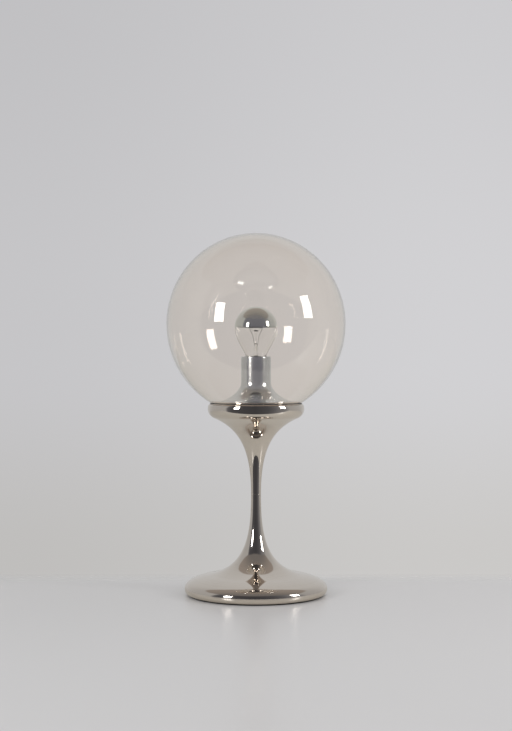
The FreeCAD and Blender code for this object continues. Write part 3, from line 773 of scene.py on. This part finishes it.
def make_world():
    """Surroundings by direction. Polished faces see pale walls, a dark room behind the viewer
    and a dim ceiling; dull faces get soft light; the eye sees the backdrop."""
    world = bpy.data.worlds.new("studio")
    world.use_nodes = True
    world.cycles.sampling_method = "NONE"
    bpy.context.scene.world = world
    tree = world.node_tree
    direction = add(tree, "TexCoord").outputs["Generated"]
    x, y, z = add(tree, "SeparateXYZ", {0: direction}).outputs
    azimuth = calc(tree, "ARCTAN2", x, calc(tree, "MULTIPLY", y, -1.0))
    walls, edge = studio_ring(tree, azimuth)
    behind = ramp(tree, y, *CEILING_SPAN)
    ceiling = mixed(tree, behind, rgba(CEILING_FRONT), rgba(CEILING_BACK))
    path = add(tree, "LightPath").outputs
    enclosed = calc(tree, "GREATER_THAN", path["Transmission Depth"], 0.5)
    lowered = calc(tree, "MULTIPLY", enclosed, math.radians(90 - CEILING_IN_GLOBE))
    edge = calc(tree, "MINIMUM", edge, calc(tree, "SUBTRACT", math.pi / 2, lowered))
    above = calc(tree, "SUBTRACT", calc(tree, "ARCSINE", z), edge)
    blur = math.radians(CEILING_BLUR)
    seen = mixed(tree, ramp(tree, above, -blur, blur), walls, ceiling)
    seen = mixed(tree, enclosed, seen, rgba(GLASS_HAZE), "LIGHTEN")
    mirrored = calc(tree, "GREATER_THAN", path["Glossy Depth"], 0.5)
    spread = calc(tree, "GREATER_THAN", path["Diffuse Depth"], 0.5)
    colour = mixed(tree, mirrored, backdrop_colour(tree, direction), seen)
    colour = mixed(tree, spread, colour, rgba((SOFT_LIGHT,) * 3))
    background = tree.nodes["Background"]
    tree.links.new(colour, background.inputs["Color"])
    background.inputs["Strength"].default_value = 1.0


def make_windows():
    """Two tall windows in front of the lamp, which light it and shine in its polished faces."""
    for side, ((left, right), (low, high)) in WINDOWS.items():
        data = bpy.data.lights.new("window_" + side, "AREA")
        data.shape = "RECTANGLE"
        data.size = 2 * WINDOW_DISTANCE * math.tan(math.radians(right - left) / 2)
        data.size_y = high - low
        data.energy = WINDOW_POWER
        window = placed("window_" + side, data)
        middle = (left + right) / 2
        window.location = (*along((0, 0), middle - 90, WINDOW_DISTANCE), (low + high) / 2)
        window.rotation_euler = (math.radians(90), 0, math.radians(middle))
        window.visible_camera = False


def make_table():
    """Pale satin table top. For the eye it fades into the backdrop behind the lamp and far out.
    For polished faces it has a front and a back edge, with the studio beyond them, and a painted
    shade makes it darker and yellower."""
    angle = np.linspace(0, 2 * math.pi, TABLE_CORNERS, endpoint=False)
    rim = np.stack([TABLE_R * np.cos(angle), TABLE_R * np.sin(angle), 0 * angle], axis=1)
    mesh = bpy.data.meshes.new("table")
    mesh.from_pydata(rim, [], [list(range(len(rim)))])
    table = placed("table", mesh)
    material, tree, shader, output = new_material("table_paint")
    place = add(tree, "TexCoord").outputs["Object"]
    x, y, _ = add(tree, "SeparateXYZ", {0: place}).outputs
    base = mixed(tree, ramp(tree, x, *TABLE_SIDES), rgba(TABLE_LEFT), rgba(TABLE_RIGHT))
    mirrored = calc(tree, "GREATER_THAN", add(tree, "LightPath").outputs["Glossy Depth"], 0.5)
    # Painted shade: the table is darker and yellower where polished faces mirror it
    base = mixed(tree, mirrored, base, rgba(TABLE_MIRRORED_SHADE), "MULTIPLY")
    tree.links.new(base, shader.inputs["Base Color"])
    shader.inputs["Roughness"].default_value = TABLE_ROUGH
    shader.inputs["Specular IOR Level"].default_value = TABLE_SHINE
    reach = ramp(tree, distance(tree, x, y), *TABLE_REACH)
    faded = calc(tree, "MAXIMUM", ramp(tree, y, *TABLE_BACK), reach)
    front, back = TABLE_DEPTH
    within = calc(tree, "COMPARE", y, (front + back) / 2, (back - front) / 2)
    gone = mixed(tree, mirrored, faded, calc(tree, "SUBTRACT", 1.0, within))
    through = add(tree, "BsdfTransparent")
    both = add(tree, "MixShader", {0: gone, 1: shader.outputs[0], 2: through.outputs[0]})
    tree.links.new(both.outputs[0], output.inputs["Surface"])
    mesh.materials.append(material)


# Pedestal

def foot_path(inset):
    """One side of the foot's sheet from lip to waist, moved in by the inset."""
    shoulder = along(SHOULDER, 270 - SHOULDER_SLOPE, inset)
    wide = (FOOT_WIDE[0] - inset, FOOT_WIDE[1])
    lip = (LIP[0], LIP[1] + inset)
    waist = (WAIST[0] - inset, WAIST[1])
    edge = bezier(lip, (lip[0] + LIP_SHARES[0] * (wide[0] - lip[0]), lip[1]),
                  (wide[0], wide[1] - LIP_SHARES[1] * (wide[1] - lip[1])), wide)
    top = bezier(wide, (wide[0], wide[1] + PULL_FOOT_EDGE - inset),
                 along(shoulder, -SHOULDER_SLOPE, PULL_SHOULDER_OUT), shoulder)
    flare = bezier(shoulder, along(shoulder, 180 - SHOULDER_SLOPE, PULL_SHOULDER_IN),
                   (waist[0], waist[1] - PULL_WAIST_DOWN - inset), waist, 2 * CURVE)
    return [edge, top, flare]


def make_foot():
    """Spun foot, with the cord inlet's hole cut through its edge."""
    outside = foot_path(0.0)
    inside = backwards(foot_path(SHEET))
    waist = polyline(outside[-1][-1], inside[0][0])
    lip = polyline(inside[-1][-1], (LIP_HOLE_R, LIP[1] + SHEET), (LIP_HOLE_R, LIP[1]), LIP)
    outline = joined(outside + waist + inside + lip, ease=EASE_SHARP)
    foot = piece("spun_foot", "foot_trumpet", turned(outline))
    start, end = INLET_IN_Y - CUTTER_SPARE, INLET_OUT_Y + CUTTER_SPARE
    rod = [(0.0, start), (INLET_HOLE_R, start), (INLET_HOLE_R, end), (0.0, end)]
    cut_out(foot, inlet_surface(rod, 0.0))


def inlet_surface(pairs, ease):
    """Surface turned about the inlet's axis, from pairs of distance from that axis and y. An
    outline that starts on the axis is open, any other is closed."""
    closed = pairs[0][0] > TINY
    outline = joined(polyline(*pairs, *(pairs[:1] if closed else [])), closed, ease)
    points, groups = turned(outline, columns=COLUMNS_INLET)
    x, y, z = points.T
    return outward(np.stack([x, z, INLET_Z - y], axis=1), groups)


def cut_out(target, surface):
    """Cuts a closed surface out of a piece and keeps the result as its mesh."""
    cutter = solid("cutter", surface)
    modifier = target.modifiers.new("inlet", "BOOLEAN")
    modifier.operation = "DIFFERENCE"
    modifier.solver = "EXACT"
    modifier.object = cutter
    bpy.context.view_layer.update()
    shaped = target.evaluated_get(bpy.context.evaluated_depsgraph_get())
    cut = bpy.data.meshes.new_from_object(shaped)
    target.modifiers.clear()
    target.data = cut
    bpy.data.objects.remove(cutter)


def make_inlet():
    """Bush of the cord inlet, its flange rounded and standing proud of the foot."""
    flange_y = INLET_OUT_Y - INLET_FLANGE
    pairs = [(INLET_BORE_R, INLET_IN_Y), (INLET_FLANGE_R, INLET_IN_Y),
             (INLET_FLANGE_R, INLET_IN_Y + INLET_FLANGE), (INLET_HOLE_R, INLET_IN_Y + INLET_FLANGE),
             (INLET_HOLE_R, flange_y), (INLET_FLANGE_R, flange_y),
             (INLET_FLANGE_R, INLET_OUT_Y), (INLET_BORE_R, INLET_OUT_Y)]
    piece("inlet_bush", "cord_inlet_grommet", inlet_surface(pairs, EASE_SOFT))


def make_collar():
    """Cast collar: trumpet, roll, ledge for the glass, crest and well."""
    ledge_end = along(ROLL, math.degrees(math.asin((LEDGE_Z - ROLL[1]) / ROLL_R)), ROLL_R)
    crest_start = math.degrees(math.acos((LEDGE_R - ROLL[0]) / ROLL_R))
    outside = [
        bezier(WAIST, (WAIST[0], WAIST[1] + PULL_WAIST_UP),
               along(NECK, NECK_SLOPE + 180, PULL_NECK_IN), NECK, 2 * CURVE),
        bezier(NECK, along(NECK, NECK_SLOPE, PULL_NECK_OUT),
               (FACE[0], FACE[1] - PULL_FACE_DOWN), FACE),
        bezier(FACE, (FACE[0], FACE[1] + PULL_FACE_UP),
               (ledge_end[0] + PULL_LEDGE[0], ledge_end[1] + PULL_LEDGE[1]), ledge_end)]
    crest = arc(ROLL, ROLL_R, crest_start, 90)
    top_z = ROLL[1] + ROLL_R
    inner_neck = along(NECK, NECK_SLOPE + 90, NECK_WALL)
    inner_waist = (WAIST[0] - SHEET, WAIST[1])
    inner_wide = (COLLAR_WIDE[0] - ROLL_WALL, COLLAR_WIDE[1])
    inner_top = (ROLL[0], ROLL[1] + ROLL_R - ROLL_WALL)
    inside = [
        arc(ROLL, ROLL_R - ROLL_WALL, 90, 0),
        bezier(inner_wide, (inner_wide[0], inner_wide[1] - NECK_WALL),
               along(inner_neck, NECK_SLOPE, PULL_NECK_OUT), inner_neck, CURVE_NECK),
        bezier(inner_neck, along(inner_neck, NECK_SLOPE + 180, PULL_NECK_IN),
               (inner_waist[0], inner_waist[1] + PULL_WAIST_UP), inner_waist)]
    well = polyline(crest[-1], (WELL_R, top_z), (WELL_R, WELL_Z), (DECK_HOLE_R, WELL_Z),
                    (DECK_HOLE_R, inner_top[1]), inner_top)
    ledge = polyline(outside[-1][-1], (LEDGE_R, LEDGE_Z), crest[0])
    waist = polyline(inner_waist, WAIST)
    outline = joined(outside + ledge + [crest] + well + inside + waist, ease=EASE_SHARP)
    piece("cast_collar", "collar_trumpet", turned(outline))


def make_felt():
    """Pad under the foot, with a soft edge."""
    low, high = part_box("felt_pad")
    edge = polyline((0.0, low.z), (high.x, low.z), (high.x, high.z), (0.0, high.z))
    piece("felt_disc", "felt_pad", turned(joined(edge, False, EASE_SOFT)))


# Globe

def globe_path(inset):
    """One side of the globe's wall from mouth to pole, moved in by the inset."""
    radius = GLOBE_R - inset
    rise = GLOBE_RISE - inset
    mouth = (MOUTH_R - inset / math.sin(math.radians(MOUTH_SLOPE)), MOUTH_Z)
    equator = (radius, GLOBE_EQUATOR_Z)
    pole_z = GLOBE_EQUATOR_Z + rise
    lower = bezier(mouth, along(mouth, MOUTH_SLOPE, PULL_GLOBE_MOUTH),
                   (radius, GLOBE_EQUATOR_Z - PULL_GLOBE_DOWN), equator, 2 * CURVE)
    upper = bezier(equator, (radius, GLOBE_EQUATOR_Z + QUARTER * rise),
                   (QUARTER * radius, pole_z), (0.0, pole_z), 2 * CURVE)
    return [lower, upper]


def make_globe():
    """Blown globe with a ground mouth, and the thin dark ring under it."""
    outside = backwards(globe_path(0.0))
    inside = globe_path(GLOBE_GLASS)
    mouth = polyline(outside[-1][-1], inside[0][0])
    piece("blown_globe", "glass_globe", turned(joined(outside + mouth + inside, False)))
    low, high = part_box("globe_seat_ring")
    corners = [(SEAT_INNER_R, low.z), (high.x, low.z), (high.x, high.z), (SEAT_INNER_R, high.z)]
    piece("seat_ring", "globe_seat_ring", turned(joined(polyline(*corners, corners[0]))))


# Sleeve and holder

def sleeve_path(edge, inset):
    """One side of the sleeve from the flare's edge to its rolled mouth."""
    radius = SLEEVE_R - inset
    roll = (SLEEVE_R - SLEEVE_ROLL, SLEEVE_TOP_Z - SLEEVE_ROLL)
    flare = bezier(edge, (edge[0] - PULL_FLARE_EDGE[0], edge[1] + PULL_FLARE_EDGE[1]),
                   (radius, FLARE_TOP_Z - PULL_FLARE_TOP), (radius, FLARE_TOP_Z))
    tube = np.array([(radius, FLARE_TOP_Z), (radius, roll[1])])
    return [flare, tube, arc(roll, SLEEVE_ROLL - inset, 0, 90)]


def make_sleeve():
    """Chrome sleeve: flare, tube, and the mouth rolled in."""
    outside = sleeve_path((FLARE_R, FLARE_EDGE_Z), 0.0)
    inner_r = FLARE_R - SLEEVE_WALL
    inside = backwards(sleeve_path((inner_r, FLARE_EDGE_Z - SLEEVE_WALL), SLEEVE_WALL))
    mouth = polyline(outside[-1][-1], (SLEEVE_MOUTH_R, SLEEVE_TOP_Z),
                     (SLEEVE_MOUTH_R, inside[0][0][1]), inside[0][0])
    foot = polyline(inside[-1][-1], (inner_r, FLARE_FLOOR_Z), (FLARE_R, FLARE_FLOOR_Z),
                    outside[0][0])
    outline = joined(outside + mouth + inside + foot, ease=EASE_SLEEVE)
    piece("chrome_sleeve", "socket_sleeve", turned(outline, columns=COLUMNS_SLEEVE))


def make_holder():
    """Upper shell of the lampholder, with a rounded rim."""
    corner = (HOLDER_R - HOLDER_EDGE, HOLDER_TOP_Z - HOLDER_EDGE)
    rim = arc(corner, HOLDER_EDGE, 0, 90)
    floor = (HOLDER_STEP[0], HOLDER_SPLIT_Z)
    skirt = polyline(floor, (HOLDER_R, HOLDER_SPLIT_Z), rim[0])
    bore = polyline(rim[-1], (HOLDER_BORE_R, HOLDER_TOP_Z), (HOLDER_BORE_R, HOLDER_STEP[1]),
                    HOLDER_STEP, floor)
    outline = joined(skirt + [rim] + bore)
    piece("holder_shell", "holder_body", turned(outline, columns=COLUMNS_HOLDER))


def thread(low, high, depth=THREAD_DEPTH):
    """Right-hand round thread: the radius changes by -depth (1 - cos(2 pi z / pitch - a)) / 2,
    faded in and out near both heights."""
    def wave(z, angle):
        fade = np.clip((z - low) / THREAD_FADE, 0, 1) * np.clip((high - z) / THREAD_FADE, 0, 1)
        return -depth * fade * (1 - np.cos(2 * math.pi * z / PITCH - angle)) / 2
    return wave


def levels(r, low, high):
    """Straight wall at one radius, with a pair at each small step of height."""
    z = np.linspace(low, high, max(2, round(abs(high - low) / LEVEL_STEP)))
    return np.stack([np.full_like(z, r), z], axis=1)


def make_thread_shell():
    """Threaded contact shell of the holder."""
    outer_r = SHELL_BORE_R + SHELL_SHEET
    flange_z = SHELL_Z + SHELL_SHEET
    outline = joined(
        [levels(SHELL_BORE_R, SHELL_TOP_Z, SHELL_Z)]
        + polyline((SHELL_BORE_R, SHELL_Z), (SHELL_FLANGE_R, SHELL_Z), (SHELL_FLANGE_R, flange_z),
                   (outer_r, flange_z))
        + [levels(outer_r, flange_z, SHELL_TOP_Z)]
        + polyline((outer_r, SHELL_TOP_Z), (SHELL_BORE_R, SHELL_TOP_Z)), ease=EASE_SHARP)
    wave = thread(flange_z + SHELL_SHEET, SHELL_TOP_Z - SHELL_SHEET)
    piece("thread_shell", "holder_thread_shell", turned(outline, wave, COLUMNS_HOLDER))


# Bulb

def envelope_path(inset):
    """One side of the bulb's glass from neck to pole, moved in by the inset."""
    radius = BULB_R - inset
    neck_r = BULB_NECK_R - inset
    rise = BULB_TOP_Z - inset - BULB_EQUATOR_Z
    neck = np.array([(neck_r, BULB_NECK_Z), (neck_r, BULB_NECK_TOP_Z)])
    above, before, swell, after = ((neck_r + r, BULB_NECK_Z + z) for r, z in BULB_SHOULDER)
    equator = (radius, BULB_EQUATOR_Z)
    below = (radius, BULB_EQUATOR_Z - PULL_BULB_EQUATOR)
    return [neck, bezier(neck[1], above, before, swell), bezier(swell, after, below, equator),
            dome(radius, rise)]


def dome(radius, rise):
    """Quarter ellipse from the bulb's equator to the axis."""
    pole_z = BULB_EQUATOR_Z + rise
    return bezier((radius, BULB_EQUATOR_Z), (radius, BULB_EQUATOR_Z + QUARTER * rise),
                  (QUARTER * radius, pole_z), (0.0, pole_z), 2 * CURVE)


def make_bulb_glass():
    """Clear envelope, and the silver coat over its upper half."""
    outside = backwards(envelope_path(0.0))
    inside = envelope_path(BULB_GLASS)
    neck = polyline(outside[-1][-1], inside[0][0])
    wall = joined(outside + neck + inside, False)
    piece("bulb_glass", "bulb_envelope", turned(wall, columns=COLUMNS_BULB))
    rise = BULB_TOP_Z - BULB_EQUATOR_Z
    outer = dome(BULB_R + COAT, rise + COAT)[::-1]
    inner = dome(BULB_R + COAT_GAP, rise + COAT_GAP)
    coat = joined([outer] + polyline(outer[-1], inner[0]) + [inner], False)
    piece("silver_crown", "bulb_silver_crown", turned(coat, columns=COLUMNS_BULB))


def make_cap():
    """Screw cap with its rolled thread."""
    cone = (CAP_R, CAP_CONE_Z)
    bottom = (CAP_BOTTOM[0] - CAP_SHEET, CAP_BOTTOM[1])
    inner_r = CAP_R - CAP_SHEET
    outline = joined(
        polyline(CAP_BOTTOM, cone) + [levels(CAP_R, CAP_CONE_Z, CAP_TOP_Z)]
        + polyline((CAP_R, CAP_TOP_Z), (inner_r, CAP_TOP_Z))
        + [levels(inner_r, CAP_TOP_Z, CAP_CONE_Z)]
        + polyline((inner_r, CAP_CONE_Z), bottom, CAP_BOTTOM), ease=EASE_SHARP)
    wave = thread(CAP_CONE_Z, CAP_TOP_Z - THREAD_FADE)
    piece("screw_cap", "bulb_screw_cap", turned(outline, wave, COLUMNS_CAP))


def make_stem():
    """Glass stem: flare sealed in the neck, tube, pinched press and thin arbor."""
    seal_r = BULB_NECK_R - BULB_GLASS - COAT_GAP
    z = BULB_NECK_Z
    flare = bezier((seal_r, z + BULB_GLASS), (seal_r / 2, z + STEM_FLARE[0]),
                   (STEM_R, z + STEM_FLARE[1]), (STEM_R, STEM_TOP_Z))
    press = bezier((STEM_R, STEM_TOP_Z), (STEM_R, PINCH_Z), (PRESS_R, PINCH_Z),
                   (PRESS_R, PRESS_Z), CURVE_PRESS)
    seal = polyline((0.0, z), (seal_r, z), flare[0])
    arbor = polyline((PRESS_R, PRESS_Z), (ARBOR_R, PRESS_Z + ARBOR_R), (ARBOR_R, BUTTON_Z),
                     (0.0, BUTTON_Z))
    stem = joined(seal + [flare, press] + arbor, False, EASE_STEM)
    piece("stem_glass", "bulb_stem", turned(stem, columns=COLUMNS_SMALL))
    top_z = PRESS_Z + DISC
    disc = joined(polyline((ARBOR_R, top_z), (ARBOR_R, PRESS_Z), (DISC_R, PRESS_Z),
                           (DISC_R, top_z), (ARBOR_R, top_z)), ease=EASE_SHARP)
    piece("deflector", "bulb_deflector_disc", turned(disc, columns=COLUMNS_SMALL))
    top_z = BUTTON_Z + BUTTON
    bead = joined(polyline((0.0, BUTTON_Z), (BUTTON_R, BUTTON_Z), (BUTTON_R, top_z),
                           (0.0, top_z)), False, EASE_BEAD)
    piece("button_bead", "bulb_button", turned(bead, columns=COLUMNS_SMALL))


def make_wires():
    """Lead wires, supports, and the coiled filament, which lies on half a circle."""
    leads = []
    for side in (-1, 1):
        path = smooth_path([(side * x, 0.0, z) for x, z in LEAD_PATH], CURVE_LEAD)
        leads.append(swept(path, np.array([[0.0, 1.0, 0.0]]), LEAD_R))
    piece("lead_wires", "bulb_lead_wires", *leads)
    middle_z = BUTTON_Z + BUTTON / 2
    wire_z = FILAMENT_Z - FILAMENT_COIL_R - SUPPORT_R
    supports = []
    for degrees in SUPPORT_ANGLES:
        start = (*along((0, 0), degrees, BUTTON_R), middle_z)
        bend = (*along((0, 0), degrees, SUPPORT_BEND[0] * FILAMENT_R),
                middle_z + SUPPORT_BEND[1])
        end = (*along((0, 0), degrees, FILAMENT_R), wire_z)
        path = smooth_path([start, bend, end], CURVE_SUPPORT)
        supports.append(swept(path, np.array([SUPPORT_SIDE]), SUPPORT_R))
    piece("support_wires", "bulb_support_wires", *supports)
    piece("filament_coil", "bulb_filament", filament())


def filament():
    """Coil round half a circle: centre + coil radius (cos t out + sin t up), t the turns."""
    share = np.linspace(0, 1, FILAMENT_TURNS * TURN_POINTS)[:, None]
    about = math.pi * (1 + share)
    turn = 2 * math.pi * FILAMENT_TURNS * share
    out = np.concatenate([np.cos(about), np.sin(about), 0 * about], axis=1)
    up = np.array([[0.0, 0.0, 1.0]])
    side = np.cos(turn) * out + np.sin(turn) * up
    path = FILAMENT_R * out + FILAMENT_Z * up + (FILAMENT_COIL_R - FILAMENT_WIRE_R) * side
    return swept(path, side, FILAMENT_WIRE_R, FILAMENT_SIDES)


def dress_nodes():
    """Gives each node of the frame the finish of its slot."""
    for name, node in frame["nodes"].items():
        for slot in node.material_slots:
            slot.material = FINISHES[SLOTS[name]]


bpy.context.scene.view_settings.view_transform = "Standard"
make_camera()
make_world()
make_windows()
make_table()
dress_nodes()
make_foot()
make_inlet()
make_collar()
make_felt()
make_globe()
make_sleeve()
make_holder()
make_thread_shell()
make_bulb_glass()
make_cap()
make_stem()
make_wires()
